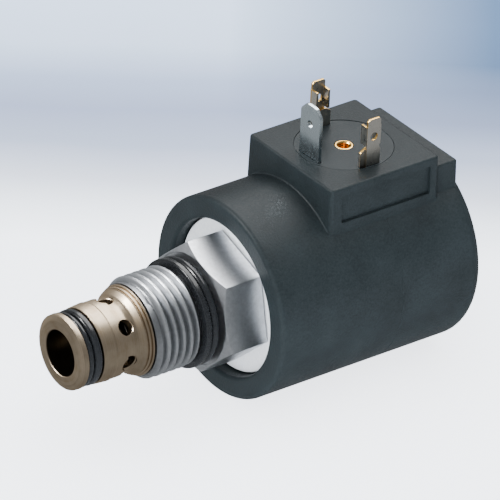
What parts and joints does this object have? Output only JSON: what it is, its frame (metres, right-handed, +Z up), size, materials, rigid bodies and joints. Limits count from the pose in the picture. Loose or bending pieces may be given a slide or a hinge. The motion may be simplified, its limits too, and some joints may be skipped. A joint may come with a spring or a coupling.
{
  "type": "solenoid cartridge valve",
  "caption": "Screw-in solenoid cartridge valve: sealed nose cage with side ports, threaded hex body, black moulded coil and a square connector block with plug tabs.",
  "frame": {"origin": "on the valve's axis, in the plane of the hex's front face, which seats on the manifold", "axes": "+X along the valve from the nose to the coil nut, +Z up through the connector block"},
  "size_m": [0.0938, 0.0424, 0.0586],
  "materials": {
    "bronze_steel": "turned steel with a bronze-grey tint, satin",
    "plated_steel": "zinc plated, satin, fine turning and milling marks",
    "plate_steel": "pale plated sheet steel, satin",
    "nut_steel": "zinc plated, satin",
    "ground_steel": "ground, hardened",
    "spring_steel": "drawn spring wire",
    "soft_iron": "turned, nickel plated",
    "stainless_tube": "fine turned stainless",
    "yoke_steel": "phosphated steel tube, dull",
    "shim_brass": "rolled sheet",
    "insert_brass": "turned, bright",
    "terminal_brass": "stamped, worn tin over brass",
    "tinned_tab": "stamped, tin plated, bluish",
    "rubber": "smooth, glossy with oil",
    "backup_plastic": "dull black ring",
    "coil_plastic": "glass-filled moulding, fine grain, soft sheen",
    "carrier_plastic": "moulded, smooth",
    "bobbin_plastic": "glass-filled moulding",
    "winding_copper": "enamelled copper wire"
  },
  "bodies": {
    "cartridge": {"cage": "bronze_steel", "nose_o_ring": "rubber", "nose_backup_ring": "backup_plastic", "valve_body": "plated_steel", "head_backup_ring": "backup_plastic", "head_o_ring": "rubber", "poppet_spring": "spring_steel", "armature_spring": "spring_steel", "gap_shim": "shim_brass", "armature_tube": "stainless_tube", "tube_o_ring": "rubber", "pole_piece": "soft_iron", "coil_front_o_ring": "rubber", "coil_rear_o_ring": "rubber"},
    "poppet": {"main_poppet": "ground_steel"},
    "armature": {"armature": "soft_iron", "pilot_pin": "ground_steel"},
    "coil": {"coil_housing": "coil_plastic", "front_flux_plate": "plate_steel", "rear_flux_plate": "plate_steel", "yoke_sleeve": "yoke_steel", "bobbin": "bobbin_plastic", "winding": "winding_copper", "terminal_carrier": "carrier_plastic", "thread_insert": "insert_brass", "earth_tab": "tinned_tab", "spade_terminal_1": "terminal_brass", "winding_lead_1": "winding_copper", "spade_terminal_2": "terminal_brass", "winding_lead_2": "winding_copper"},
    "nut": {"coil_nut": "nut_steel"}
  },
  "joints": [
    {"name": "coil_turn", "type": "hinge", "parent": "cartridge", "child": "coil", "pos_m": [0.03, 0, 0], "axis": [1, 0, 0], "continuous": true},
    {"name": "nut_turn", "type": "hinge", "parent": "cartridge", "child": "nut", "pos_m": [0.058, 0, 0], "axis": [1, 0, 0], "continuous": true},
    {"name": "armature_slide", "type": "slide", "parent": "cartridge", "child": "armature", "axis": [1, 0, 0], "range_m": [0, 0.003], "stiffness_N_per_m": 300, "springref_m": -0.004, "deforming": ["armature_spring"]},
    {"name": "poppet_slide", "type": "slide", "parent": "cartridge", "child": "poppet", "axis": [1, 0, 0], "range_m": [0, 0.00255], "deforming": ["poppet_spring"]}
  ],
  "couplings": [
    {"joint": "poppet_slide", "follows": "armature_slide", "ratio": 0.85}
  ]
}
